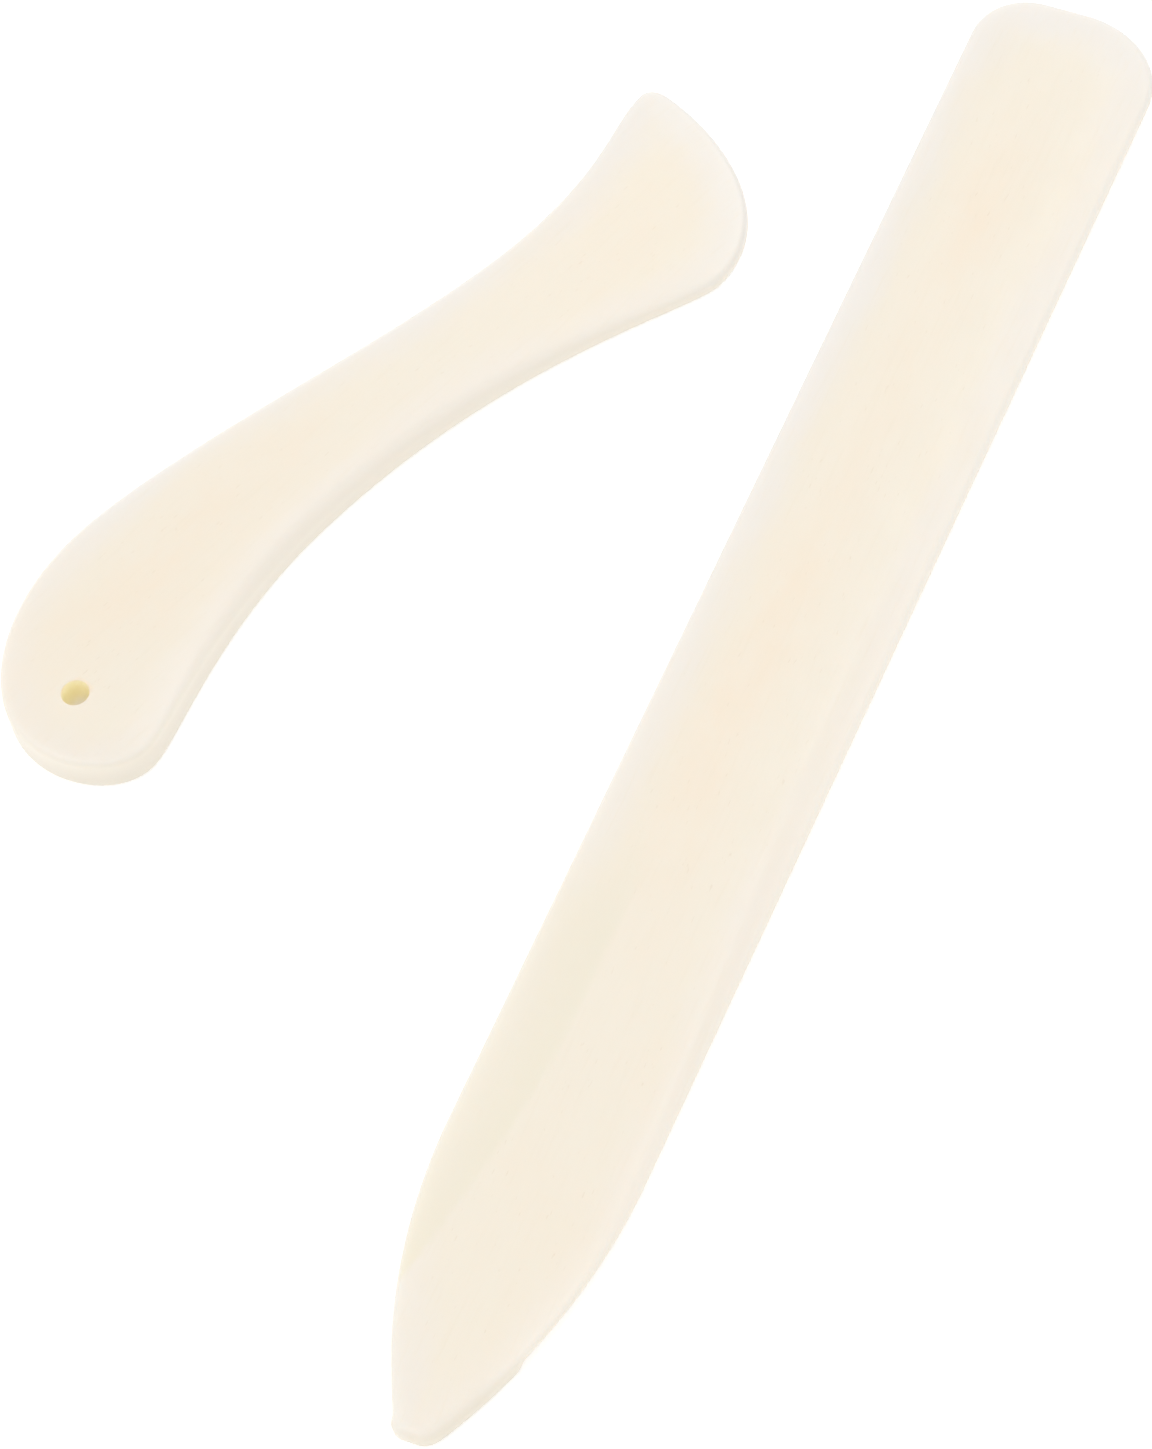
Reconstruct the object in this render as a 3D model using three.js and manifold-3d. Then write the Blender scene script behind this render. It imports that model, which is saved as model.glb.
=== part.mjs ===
// A pair of bone folders, for creasing and smoothing paper: one long and straight with a
// blunt point, and one short and curved with a fan-shaped blade and a cord hole.
// Units are millimetres, +Z is up, and both tools lie flat on the plane z = 0.

import * as THREE from "three";
import { mergeVertices } from "three/addons/utils/BufferGeometryUtils.js";
import Module from "manifold-3d";

const { lerp, smoothstep, degToRad } = THREE.MathUtils;

// ---------- driving dimensions ----------

// Straight folder. Its own frame has x from the point (0) to the square end, and y across.
const STRAIGHT_LENGTH = 160;
const STRAIGHT_WIDTH = 19.3;
const STRAIGHT_THICKNESS = 3;
const POINT_THICKNESS = 2.2;
const POINT_CROWN = 0.25; // the point's top stands this much higher than its rim
const POINT_HALF_WIDTH = 1.6; // where the flanks would meet the blunt end
const POINT_ROUNDING = 1.5; // length of the rounded nose
const NOSE_POWER = 3; // 2 is a round nose, and more is blunter
const FLANK_LENGTH = 30; // from the point to the parallel sides
const LEFT_CORNER = { along: 5, across: 5.5 }; // quarter ellipses at the square end
const RIGHT_CORNER = { along: 8, across: 9.5 }; // this one is worn rounder

// Its long edges are thinned from above and below to a round rim at about mid height.
const RIM_LOW = 0.9;
const RIM_HIGH = 2;
const CROWN_WIDTH = 6; // the top rises to full thickness this far from the rim
const UNDERCUT_WIDTH = 3; // the underside is flat from here inwards
const FULL_RIM_LENGTH = 9; // the rim keeps its full height this far from the point
const UNDERCUT_STEP = 2; // behind that, the undercut sets in over this length
const CROWN_SLOPE = 18; // and the rim's upper side comes down over this one
const POINT_ROUNDING_RADIUS = 1.1; // upper rounding of the point's rim
const SOFT_RIM_LENGTH = 5; // it stays this soft so far, and sharpens where the undercut begins

// A facet is ground on the top near the point, between a ridge and the +y edge.
const RIDGE_OFFSET = 2.7; // from the centre line
const RIDGE_START = 62; // the facet begins to show this far from the point
const RIDGE_DEEP = 40; // it has its full depth from here to the point
const RIDGE_SWING = 8; // and over that length the ridge swings out this far
const SWING_POWER = 1.5; // 1 is a straight swing, and more keeps it for the end

// Curved folder. Its own frame has the cord hole at the origin and the blade towards +x.
const HEEL_THICKNESS = 4.6;
const BLADE_THICKNESS = 1.5;
const TAPER_START = -20; // x where the thickness would start to fall
const TAPER_END = 100; // x where it would stop
const CORD_HOLE_DIAMETER = 2.6;
const CURVED_CROWN = 0.5; // the top stands this much higher than near its rim
const CURVED_CROWN_WIDTH = 4;
const HEEL_ROUNDING = 0.6; // radius of the rim's upper rounding at the heel,
const BELLY_ROUNDING = 1.3; // in the middle, where the tool is held,
const BLADE_ROUNDING = 0.5; // and at the blade
const GRIP = { start: 0, full: 25, narrowing: 40, end: 80 }; // x of the rounder middle

const RIM_RADIUS = 0.5; // rounding of every other rim

// Where the curved folder lies in the straight folder's frame, and how it is turned.
const CORD_HOLE_PLACE = new THREE.Vector2(57.75, 59.85);
const CURVED_TURN = degToRad(-20);

// Fineness of the meshes.
const STRAIGHT_SECTIONS = 56;
const CURVED_SECTIONS = 60;
const OUTLINE_STEPS = 160;
const HOLE_SIDES = 32;
const END_CROWDING = 0.85; // 0 spaces the sections evenly, and 1 most closely at the ends
const RIM_INSETS = [0, 0.15, RIM_RADIUS]; // points that follow the rim's rounding
const STRAIGHT_INSETS = [...RIM_INSETS, 1.4, UNDERCUT_WIDTH];
const CURVED_INSETS = [...RIM_INSETS, 0.9, 1.8];
const STRAIGHT_INNER_POINTS = 4;
const CURVED_INNER_POINTS = 3;
const INSET_LIMIT = 0.35; // the insets at one edge never take more than this share of the width

// ---------- lofted plate ----------

// Rises steeply from 0 and levels out at 1.
const rise = (t) => 1 - (1 - Math.min(t, 1)) ** 2;

// Drop of an arc of the given radius, at the distance t along its tangent.
const arcDrop = (radius, t) => radius - Math.sqrt(Math.max(radius * radius - t * t, 0));

// Height lost to a rim's rounding, at the distance d inside the rim.
const rimRounding = (d, radius = RIM_RADIUS) => arcDrop(radius, Math.max(radius - d, 0));

// Spreads n + 1 values over 0..1, closer together at both ends.
function closerAtEnds(n) {
  return Array.from({ length: n + 1 }, (_, i) => {
    const even = i / n;
    const crowded = (1 - Math.cos(Math.PI * even)) / 2;
    return lerp(even, crowded, END_CROWDING);
  });
}

function edgeDistance(point, outline) {
  const nearest = new THREE.Vector3();
  const probe = new THREE.Vector3(point.x, point.y, 0);
  let best = Infinity;
  for (const line of outline) {
    line.closestPointToPoint(probe, true, nearest);
    best = Math.min(best, nearest.distanceTo(probe));
  }
  return best;
}

function outlineOf(left, right) {
  const steps = closerAtEnds(OUTLINE_STEPS);
  const loop = [...steps.map(left), ...steps.map(right).reverse()];
  const corners = loop.map((point) => new THREE.Vector3(point.x, point.y, 0));
  return corners.map((corner, i) => new THREE.Line3(corner, corners[(i + 1) % corners.length]));
}

// Points across a section: the given distances in from each edge, and between them some
// evenly spaced inner points.
function acrossPoints(left, right, insets, innerPoints) {
  const width = left.distanceTo(right);
  const reach = Math.min(1, (INSET_LIMIT * width) / insets[insets.length - 1]);
  const fromLeft = insets.map((d) => (d * reach) / width);
  const fromRight = fromLeft.map((t) => 1 - t).reverse();
  const first = fromLeft[fromLeft.length - 1];
  const inner = Array.from({ length: innerPoints }, (_, i) => {
    return lerp(first, 1 - first, (i + 1) / (innerPoints + 1));
  });
  return [...fromLeft, ...inner, ...fromRight].map((t) => left.clone().lerp(right, t));
}

// A plate between a left and a right edge curve. Each cross-section is a closed ring: over
// the top from left to right, and back under the bottom. top and bottom give the heights
// from a point in plan and its distance from the rim.
function plateGeometry({ left, right, sections, insets, innerPoints, top, bottom }) {
  const outline = outlineOf(left, right);
  const rings = closerAtEnds(sections).map((u) => {
    const row = acrossPoints(left(u), right(u), insets, innerPoints);
    const over = row.map((p) => new THREE.Vector3(p.x, p.y, top(p, edgeDistance(p, outline))));
    const under = row.map((p) => new THREE.Vector3(p.x, p.y, bottom(p, edgeDistance(p, outline))));
    return [...over, ...under.reverse()];
  });
  return loftGeometry(rings);
}

function loftGeometry(rings) {
  const size = rings[0].length;
  const positions = rings.flat().flatMap((p) => [p.x, p.y, p.z]);
  const faces = [];
  for (let k = 0; k + 1 < rings.length; k += 1) {
    for (let i = 0; i < size; i += 1) {
      const a = k * size + i;
      const b = k * size + ((i + 1) % size);
      faces.push(a, b, a + size, b, b + size, a + size);
    }
  }
  const half = size / 2;
  const last = (rings.length - 1) * size;
  for (let i = 0; i + 1 < half; i += 1) {
    const over = i;
    const under = size - 1 - i;
    faces.push(over, under, over + 1, over + 1, under, under - 1);
    faces.push(last + over, last + over + 1, last + under);
    faces.push(last + over + 1, last + under - 1, last + under);
  }
  const geometry = new THREE.BufferGeometry();
  geometry.setAttribute("position", new THREE.Float32BufferAttribute(positions, 3));
  geometry.setIndex(faces);
  return geometry;
}

// ---------- straight folder ----------

const HALF_WIDTH = STRAIGHT_WIDTH / 2;
const FLANK_SAG = HALF_WIDTH - POINT_HALF_WIDTH;
const FLANK_RADIUS = (FLANK_LENGTH ** 2 + FLANK_SAG ** 2) / (2 * FLANK_SAG);

function straightHalfWidth(x, corner) {
  const flank = HALF_WIDTH - arcDrop(FLANK_RADIUS, Math.max(FLANK_LENGTH - x, 0));
  const intoCorner = Math.max(x - (STRAIGHT_LENGTH - corner.along), 0) / corner.along;
  const worn = corner.across * arcDrop(1, intoCorner);
  const fromNose = Math.min(x / POINT_ROUNDING, 1);
  const nose = (1 - (1 - fromNose) ** NOSE_POWER) ** (1 / NOSE_POWER);
  return (flank - worn) * nose;
}

// The first section is a little way in from the point, so that it still has a width.
const FIRST_SECTION = 0.04;
const straightX = (u) => lerp(FIRST_SECTION, STRAIGHT_LENGTH, u);

function straightEdge(side, corner) {
  return (u) => {
    const x = straightX(u);
    return new THREE.Vector2(x, side * straightHalfWidth(x, corner));
  };
}

function straightThickness(x) {
  return lerp(POINT_THICKNESS, STRAIGHT_THICKNESS, smoothstep(x, 0, RIDGE_START));
}

// Height of the rim's upper side: nearly the whole thickness at the point, thinner behind it.
function straightRim(x, thickness) {
  const thinned = smoothstep(x, FULL_RIM_LENGTH, FULL_RIM_LENGTH + CROWN_SLOPE);
  return lerp(thickness - POINT_CROWN, RIM_HIGH, thinned);
}

// Share of the rise from the rim to the ridge: 1 on the ridge and inside it, 0 on the rim.
function facetRise(point, d) {
  const towardsPoint = Math.max(RIDGE_DEEP - point.x, 0) / RIDGE_DEEP;
  const ridge = RIDGE_OFFSET + RIDGE_SWING * towardsPoint ** SWING_POWER;
  const beyond = point.y - ridge;
  if (beyond <= 0) {
    return 1;
  }
  const ground = 1 - smoothstep(point.x, RIDGE_DEEP, RIDGE_START);
  return lerp(1, d / (d + beyond), ground);
}

function straightTop(point, d) {
  const thickness = straightThickness(point.x);
  const share = Math.min(rise(d / CROWN_WIDTH), facetRise(point, d));
  const sharpened = smoothstep(point.x, SOFT_RIM_LENGTH, FULL_RIM_LENGTH);
  const radius = lerp(POINT_ROUNDING_RADIUS, RIM_RADIUS, sharpened);
  return lerp(straightRim(point.x, thickness), thickness, share) - rimRounding(d, radius);
}

function straightBottom(point, d) {
  const thinned = smoothstep(point.x, FULL_RIM_LENGTH, FULL_RIM_LENGTH + UNDERCUT_STEP);
  const undercut = thinned * RIM_LOW * (1 - rise(d / UNDERCUT_WIDTH));
  return undercut + rimRounding(d);
}

function straightFolder() {
  return plateGeometry({
    left: straightEdge(1, LEFT_CORNER),
    right: straightEdge(-1, RIGHT_CORNER),
    sections: STRAIGHT_SECTIONS,
    insets: STRAIGHT_INSETS,
    innerPoints: STRAIGHT_INNER_POINTS,
    top: straightTop,
    bottom: straightBottom,
  });
}

// ---------- curved folder ----------

// The outline turns through eight points, and its tangent is along x or y at each of them.
// Each stretch keeps the last tangent for the length "leave" and takes up the next one over
// the length "arrive".
const HEEL = [-6.5, -0.6];
const CURVED_OUTLINE = [
  { leave: [0, 8.2], arrive: [10, 0], to: [13.2, 13.25] }, // over the heel to the back
  { leave: [14.4, 0], arrive: [14.4, 0], to: [66.5, 4.15] }, // along the back to the neck
  { leave: [9.6, 0], arrive: [3.6, 0], to: [83.4, 6.85] }, // out to the blade's corner
  { leave: [1.2, 0], arrive: [0, -1.1], to: [85, 4.6] }, // round the corner
  { leave: [0, -7.5], arrive: [-9.2, 0], to: [72.2, -14.1] }, // the blade's working edge
  { leave: [-3.5, 0], arrive: [-25, 0], to: [28.1, -3.5] }, // round the lobe into the belly
  { leave: [-14, 0], arrive: [-3.3, 0], to: [0.2, -9.2] }, // along the belly to the heel
  { leave: [-3.9, 0], arrive: [0, 4], to: HEEL }, // under the heel
];
const BLADE_MIDDLE = 0.505; // share of the outline from the heel over the back to mid blade
const END_GAP = 0.003; // share of the outline under each flat end facet

function curvedPath() {
  const path = new THREE.Path().moveTo(...HEEL);
  for (const { leave, arrive, to } of CURVED_OUTLINE) {
    const from = path.currentPoint;
    path.bezierCurveTo(from.x + leave[0], from.y + leave[1], to[0] - arrive[0], to[1] - arrive[1], ...to);
  }
  return path;
}

const curvedOutline = curvedPath();

// The two edges both run from the heel to the middle of the blade's working edge.
const curvedLeft = (u) => curvedOutline.getPointAt(lerp(END_GAP, BLADE_MIDDLE - END_GAP, u));
const curvedRight = (u) => curvedOutline.getPointAt(1 - lerp(END_GAP, 1 - BLADE_MIDDLE - END_GAP, u));

function curvedRounding(x) {
  const swelling = lerp(HEEL_ROUNDING, BELLY_ROUNDING, smoothstep(x, GRIP.start, GRIP.full));
  return lerp(swelling, BLADE_ROUNDING, smoothstep(x, GRIP.narrowing, GRIP.end));
}

function curvedTop(point, d) {
  const taper = smoothstep(point.x, TAPER_START, TAPER_END);
  const thickness = lerp(HEEL_THICKNESS, BLADE_THICKNESS, taper);
  const crowned = thickness - CURVED_CROWN * (1 - rise(d / CURVED_CROWN_WIDTH));
  return crowned - rimRounding(d, curvedRounding(point.x));
}

const curvedBottom = (point, d) => rimRounding(d);

function curvedBlank() {
  return plateGeometry({
    left: curvedLeft,
    right: curvedRight,
    sections: CURVED_SECTIONS,
    insets: CURVED_INSETS,
    innerPoints: CURVED_INNER_POINTS,
    top: curvedTop,
    bottom: curvedBottom,
  });
}

// A cylinder on the hole's axis that sticks out of the heel above and below.
function cordHoleTool() {
  const radius = CORD_HOLE_DIAMETER / 2;
  const length = 3 * HEEL_THICKNESS;
  return new THREE.CylinderGeometry(radius, radius, length, HOLE_SIDES).rotateX(Math.PI / 2);
}

// ---------- cutting ----------

const wasm = await Module();
wasm.setup();

function toSolid(geometry) {
  const bare = geometry.clone();
  bare.deleteAttribute("normal");
  bare.deleteAttribute("uv");
  const merged = mergeVertices(bare);
  return new wasm.Manifold(new wasm.Mesh({
    numProp: 3,
    vertProperties: new Float32Array(merged.attributes.position.array),
    triVerts: new Uint32Array(merged.index.array),
  }));
}

function toGeometry(solid) {
  const mesh = solid.getMesh();
  const geometry = new THREE.BufferGeometry();
  geometry.setAttribute("position", new THREE.BufferAttribute(mesh.vertProperties, 3));
  geometry.setIndex(new THREE.BufferAttribute(mesh.triVerts, 1));
  return geometry;
}

function curvedFolder() {
  return toGeometry(toSolid(curvedBlank()).subtract(toSolid(cordHoleTool())));
}

// ---------- materials and assembly ----------

function polishedBone() {
  return new THREE.MeshStandardMaterial({ color: 0xf4ead6, roughness: 0.38, metalness: 0 });
}

function bonePiece(name, geometry) {
  geometry.computeVertexNormals();
  const piece = new THREE.Mesh(geometry, polishedBone());
  piece.name = name;
  return piece;
}

const straight = bonePiece("straight_folder", straightFolder());

const curved = bonePiece("curved_folder", curvedFolder());
curved.position.set(CORD_HOLE_PLACE.x, CORD_HOLE_PLACE.y, 0);
curved.rotation.z = CURVED_TURN;

const pair = new THREE.Group();
pair.add(straight, curved);
pair.updateMatrixWorld(true);

// The pair is centred over the origin, with both undersides at z = 0.
const middle = new THREE.Box3().setFromObject(pair, true).getCenter(new THREE.Vector3());
pair.position.set(-middle.x, -middle.y, 0);

const boneFolders = new THREE.Group();
boneFolders.add(pair);

export default boneFolders;
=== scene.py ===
"""A pair of bone folders on a pale floor: a long straight one and a short curved one.

Both CAD solids are replaced by finer meshes with the same outlines and heights, which also
have the ground facet's hollow, the bevel along the right edge, a squarer nose with a tiny
knob and a cord hole with eased rims. Each tool is made in its own frame, in metres, and
then set where its CAD node lies.
"""

import math

import bpy
import numpy as np
from mathutils import Matrix, Vector, noise


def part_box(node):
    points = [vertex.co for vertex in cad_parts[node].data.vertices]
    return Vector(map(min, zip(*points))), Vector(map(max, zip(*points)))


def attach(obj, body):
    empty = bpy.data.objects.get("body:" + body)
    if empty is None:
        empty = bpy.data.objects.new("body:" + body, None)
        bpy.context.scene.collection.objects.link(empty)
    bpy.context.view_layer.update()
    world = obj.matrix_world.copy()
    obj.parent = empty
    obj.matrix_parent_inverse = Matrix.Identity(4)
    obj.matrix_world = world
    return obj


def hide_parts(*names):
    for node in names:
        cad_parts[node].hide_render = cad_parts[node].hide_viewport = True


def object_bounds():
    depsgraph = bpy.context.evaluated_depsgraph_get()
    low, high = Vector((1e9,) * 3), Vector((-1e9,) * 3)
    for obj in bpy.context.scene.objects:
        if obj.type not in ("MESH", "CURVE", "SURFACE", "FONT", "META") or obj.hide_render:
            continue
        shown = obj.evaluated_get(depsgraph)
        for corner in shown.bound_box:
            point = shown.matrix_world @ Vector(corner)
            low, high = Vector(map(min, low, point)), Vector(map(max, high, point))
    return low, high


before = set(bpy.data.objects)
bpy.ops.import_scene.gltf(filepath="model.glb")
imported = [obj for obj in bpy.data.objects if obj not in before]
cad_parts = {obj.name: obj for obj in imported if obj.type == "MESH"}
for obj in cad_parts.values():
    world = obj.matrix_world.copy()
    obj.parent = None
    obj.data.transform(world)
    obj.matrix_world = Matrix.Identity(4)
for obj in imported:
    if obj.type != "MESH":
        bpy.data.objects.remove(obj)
cad_low, cad_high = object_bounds()

MM = 0.001

# ---------- driving dimensions, the same as the CAD model's ----------

# Straight folder: x runs from the point (0) to the square end, and y across.
STRAIGHT_LENGTH = 160 * MM
STRAIGHT_WIDTH = 19.3 * MM
STRAIGHT_THICKNESS = 3 * MM
POINT_THICKNESS = 2.2 * MM
POINT_CROWN = 0.25 * MM
POINT_HALF_WIDTH = 1.6 * MM
POINT_ROUNDING = 1.5 * MM
NOSE_POWER = 3
FLANK_LENGTH = 30 * MM
LEFT_CORNER = {"along": 5 * MM, "across": 5.5 * MM}
RIGHT_CORNER = {"along": 8 * MM, "across": 9.5 * MM}
FIRST_SECTION = 0.04 * MM  # the mesh begins this far from the point

RIM_LOW = 0.9 * MM
RIM_HIGH = 2 * MM
CROWN_WIDTH = 6 * MM
UNDERCUT_WIDTH = 3 * MM
FULL_RIM_LENGTH = 9 * MM
NOTCH = 10 * MM  # middle of the CAD model's undercut step
CROWN_SLOPE = 18 * MM
POINT_ROUNDING_RADIUS = 1.1 * MM
SOFT_RIM_LENGTH = 5 * MM

RIDGE_OFFSET = 2.7 * MM
RIDGE_START = 62 * MM
RIDGE_DEEP = 40 * MM
RIDGE_SWING = 8 * MM
SWING_POWER = 1.5

# Curved folder: the cord hole is at the origin and the blade points towards +x.
HEEL_THICKNESS = 4.6 * MM
BLADE_THICKNESS = 1.5 * MM
TAPER_START = -20 * MM
TAPER_END = 100 * MM
CORD_HOLE_DIAMETER = 2.6 * MM
CURVED_CROWN = 0.5 * MM
CURVED_CROWN_WIDTH = 4 * MM
CURVED_TURN = math.radians(-20)
HEEL_ROUNDING = 0.6 * MM
BELLY_ROUNDING = 1.3 * MM
BLADE_ROUNDING = 0.5 * MM
GRIP = {"start": 0, "full": 25 * MM, "narrowing": 40 * MM, "end": 80 * MM}

RIM_RADIUS = 0.5 * MM

# The outline's cubic stretches, in millimetres: each keeps the last tangent for the length
# "leave", and takes up the next one over the length "arrive".
HEEL = (-6.5, -0.6)  # where the outline starts and ends
CURVED_OUTLINE = [
    {"leave": (0, 8.2), "arrive": (10, 0), "to": (13.2, 13.25)},
    {"leave": (14.4, 0), "arrive": (14.4, 0), "to": (66.5, 4.15)},
    {"leave": (9.6, 0), "arrive": (3.6, 0), "to": (83.4, 6.85)},
    {"leave": (1.2, 0), "arrive": (0, -1.1), "to": (85, 4.6)},
    {"leave": (0, -7.5), "arrive": (-9.2, 0), "to": (72.2, -14.1)},
    {"leave": (-3.5, 0), "arrive": (-25, 0), "to": (28.1, -3.5)},
    {"leave": (-14, 0), "arrive": (-3.3, 0), "to": (0.2, -9.2)},
    {"leave": (-3.9, 0), "arrive": (0, 4), "to": HEEL},
]
BLADE_MIDDLE = 0.505  # share of the outline's length from the heel round to the blade's middle
END_GAP = 0.003  # the first and last sections keep this share away from those two places

# ---------- detail that only the visible meshes have ----------

FACET_HOLLOW = 1.8  # 1 is a flat facet, and more grinds it hollow next to the ridge
FACET_FADE = 7 * MM  # the ground facet's tone and painted shade fade over this distance beyond the ridge
FACET_LOOK = (50 * MM, 64 * MM)  # x where that look is full, and where it begins
RIDGE_SOFTNESS = 0.3 * MM  # the look begins over this distance on each side of the ridge
BEVEL_WIDTH = 3.1 * MM  # bevel along the straight folder's right edge
BEVEL_NARROW = 0.9 * MM  # and its width near the point
BEVEL_SHARE = 0.88  # share of the crown's rise that the bevel takes up
BEVEL_SPAN = (30 * MM, 85 * MM, 105 * MM)  # narrow, full width, faded out
NOTCH_LENGTH = 1.4 * MM  # the undercut sets in over this length, more sharply than in the CAD
LEFT_NOSE_POWER = 6  # the nose is squarer at its left,
KNOB = {"at": 0.9 * MM, "half_length": 0.6 * MM, "rise": 0.3 * MM}  # with a tiny knob there
HOLE_EASING = 0.15 * MM  # radius of the cord hole's rims
FLARE_ANGLE = math.radians(80)  # their arcs stop short of lying flat
FLARE_STEPS = 6  # sides of each arc
WAVE_HEIGHT = 0.03 * MM  # unevenness left by hand finishing
WAVE_LENGTH = 11 * MM

# Fineness of the meshes: rows run along a piece, and sections across it.
RIM_STEPS = 6  # rows that follow a rim's rounding
OUTER_ROWS = [0.8 * MM, 1.2 * MM, 1.7 * MM, 2.3 * MM, 3 * MM, 3.8 * MM]
INNER_ROWS = 22
SECTION_STEP = 0.7 * MM
NOTCH_SECTIONS = 8  # extra ones where the undercut sets in
END_CROWDING = 0.85  # 0 spaces the sections evenly, and 1 most closely at the ends
INSET_LIMIT = 0.4  # rows near one edge take at most this share of the width
STRETCH_STEPS = 160  # points on each stretch of the curved folder's outline
HOLE_SIDES = 96

# Warm patches in the bone: place along and across, strength, half length and half width.
STRAIGHT_WARMTH = [
    {"at": (136 * MM, 0.6 * MM), "strength": 0.8, "reach": (9 * MM, 3.2 * MM)},
    {"at": (112 * MM, 0.8 * MM), "strength": 0.55, "reach": (18 * MM, 3.2 * MM)},
    {"at": (89 * MM, 1.2 * MM), "strength": 0.8, "reach": (10 * MM, 3.4 * MM)},
    {"at": (74 * MM, 1.6 * MM), "strength": 0.9, "reach": (11 * MM, 3.6 * MM)},
    {"at": (62 * MM, 0.5 * MM), "strength": 0.5, "reach": (7 * MM, 4.2 * MM)},
]
CURVED_WARMTH = [
    {"at": (9 * MM, 3.4 * MM), "strength": 0.9, "reach": (12 * MM, 5.5 * MM)},
    {"at": (27 * MM, 3.6 * MM), "strength": 0.7, "reach": (12 * MM, 3.6 * MM)},
    {"at": (73 * MM, -3 * MM), "strength": 0.3, "reach": (10 * MM, 6.5 * MM)},
]

# How much painted pale light the thin rims get, from 0 to 1, and the spans of x over which that changes.
# It stands in for light shining through the thin bone.
LEFT_RIM_LIGHT = (0.55, 1)  # straight folder's left edge, near the point and near the square end
RIGHT_RIM_LIGHT = (0.2, 0.55)  # and its right edge
FLANK_SPAN = (50 * MM, 115 * MM)
END_RIM_LIGHT_LENGTH = 14 * MM  # the square end gets the full painted rim light
BACK_RIM_LIGHT = 1  # curved folder's handle, at its back
BELLY_RIM_LIGHT = 0.35  # and at its belly
HEEL_RIM_LIGHT = 0.3
HEEL_SPAN = (0, 20 * MM)
BLADE_SPAN = (64 * MM, 82 * MM)  # the blade gets the full painted rim light
STRAIGHT_SIDES = (0.35, 0.65)  # shares of the width between which one side's painted rim light gives way
CURVED_SIDES = (0.3, 0.7)
WIDE_END_RIM_LIGHT = 1.6  # the painted pale rim is this much wider at the square end,
WIDE_BLADE_RIM_LIGHT = 1.3  # and this much at the blade

# How much painted shade darkens the walls under the rims, against the heel's and the point's.
THIN_RIM_WALL_SHADE = 0.25  # the straight folder's thinned rims
HANDLE_WALL_SHADE = 0.65
BLADE_WALL_SHADE = 0.6  # as a share of the handle's
FOOT_SHADE_HEIGHT = 1.3 * MM  # painted shade darkens a wall towards its foot, over about this height
STEEP_SHARE = 0.5  # share of a rim's radius over which its wall turns into its top
UPRIGHT_SHARE = 0.15  # share over which it is nearly upright
BORE_RIM = 0.75  # share of the cord hole's easing that still gets the bore's painted light

# What is stored at each vertex for the material to read.
LOOKS = ["edge", "reach", "painted_rim_light", "warmth", "wall_shade", "flank", "foot_shade", "ground", "bore_light"]


# ---------- shared shape functions ----------


def lerp(a, b, t):
    return a + (b - a) * t


def smoothstep(x, low, high):
    t = np.clip((x - low) / (high - low), 0, 1)
    return t * t * (3 - 2 * t)


def rise(t):
    """Rises steeply from 0 and levels out at 1."""
    return 1 - (1 - np.minimum(t, 1)) ** 2


def arc_drop(radius, t):
    """Drop of an arc of the given radius, at the distance t along its tangent."""
    return radius - np.sqrt(np.maximum(radius**2 - t**2, 0))


def rim_rounding(d, radius=RIM_RADIUS):
    """Height lost to the rim's rounding, at the distance d inside the rim."""
    return arc_drop(radius, np.maximum(radius - d, 0))


def edge_distance(points, line):
    """Distance of each point in plan from a line through corners."""
    nearest = np.full(len(points), np.inf)
    for start, end in zip(line[:-1], line[1:]):
        along = end - start
        length = along @ along
        if length == 0:
            continue
        share = np.clip((points - start) @ along / length, 0, 1)
        gap = points - start - share[:, None] * along
        nearest = np.minimum(nearest, np.hypot(gap[:, 0], gap[:, 1]))
    return nearest


def insets():
    """Distances of the rows in from an edge: even steps round the rim's arc, then wider."""
    turns = np.linspace(0, math.pi / 2, RIM_STEPS + 1)
    return np.array([*(RIM_RADIUS * (1 - np.cos(turns))), *OUTER_ROWS])


def row_shares(width):
    """Shares of the width at which the rows of one section lie, from left to right."""
    outer = insets()
    reach = min(1, INSET_LIMIT * width / outer[-1])
    left = outer * reach / width
    middle = np.linspace(left[-1], 1 - left[-1], INNER_ROWS + 2)[1:-1]
    return np.array([*left, *middle, *(1 - left[::-1])])


def unevenness(points):
    """Gentle waves in a hand-finished surface."""
    return WAVE_HEIGHT * np.array([noise.noise((x / WAVE_LENGTH, y / WAVE_LENGTH, 0)) for x, y in points])


def plate_rings(left, right, top, bottom):
    """Closed rings across a plate: over the top from left to right, and back underneath.
    left and right are matching points along its two edges."""
    loop = np.concatenate([left, right[::-1], left[:1]])
    rows = []
    for a, b in zip(left, right):
        shares = row_shares(np.hypot(*(b - a)))
        rows.append(a + shares[:, None] * (b - a))
    plan = np.array(rows)
    flat = plan.reshape(-1, 2)
    d = edge_distance(flat, loop)
    over = np.column_stack([flat, top(flat, d)]).reshape(*plan.shape[:2], 3)
    under = np.column_stack([flat, bottom(flat, d)]).reshape(*plan.shape[:2], 3)
    return np.concatenate([over, under[:, ::-1]], axis=1)


def loft(name, rings):
    """A closed mesh through rings of equal size, with its two ends closed by quads."""
    count, size = rings.shape[:2]
    first = np.arange(count - 1)[:, None] * size + np.arange(size)
    second = np.arange(count - 1)[:, None] * size + (np.arange(size) + 1) % size
    sides = np.stack([first, second, second + size, first + size], axis=-1).reshape(-1, 4)
    over = np.arange(size // 2 - 1)
    under = size - 1 - over
    near = np.stack([over, under, under - 1, over + 1], axis=-1)
    far = np.stack([over, over + 1, under - 1, under], axis=-1) + (count - 1) * size
    faces = np.concatenate([sides, near, far])
    mesh = bpy.data.meshes.new(name)
    mesh.from_pydata(rings.reshape(-1, 3).tolist(), [], faces.tolist())
    mesh.validate()
    return mesh


# ---------- straight folder ----------


def flank_radius():
    sag = STRAIGHT_WIDTH / 2 - POINT_HALF_WIDTH
    return (FLANK_LENGTH**2 + sag**2) / (2 * sag)


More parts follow.
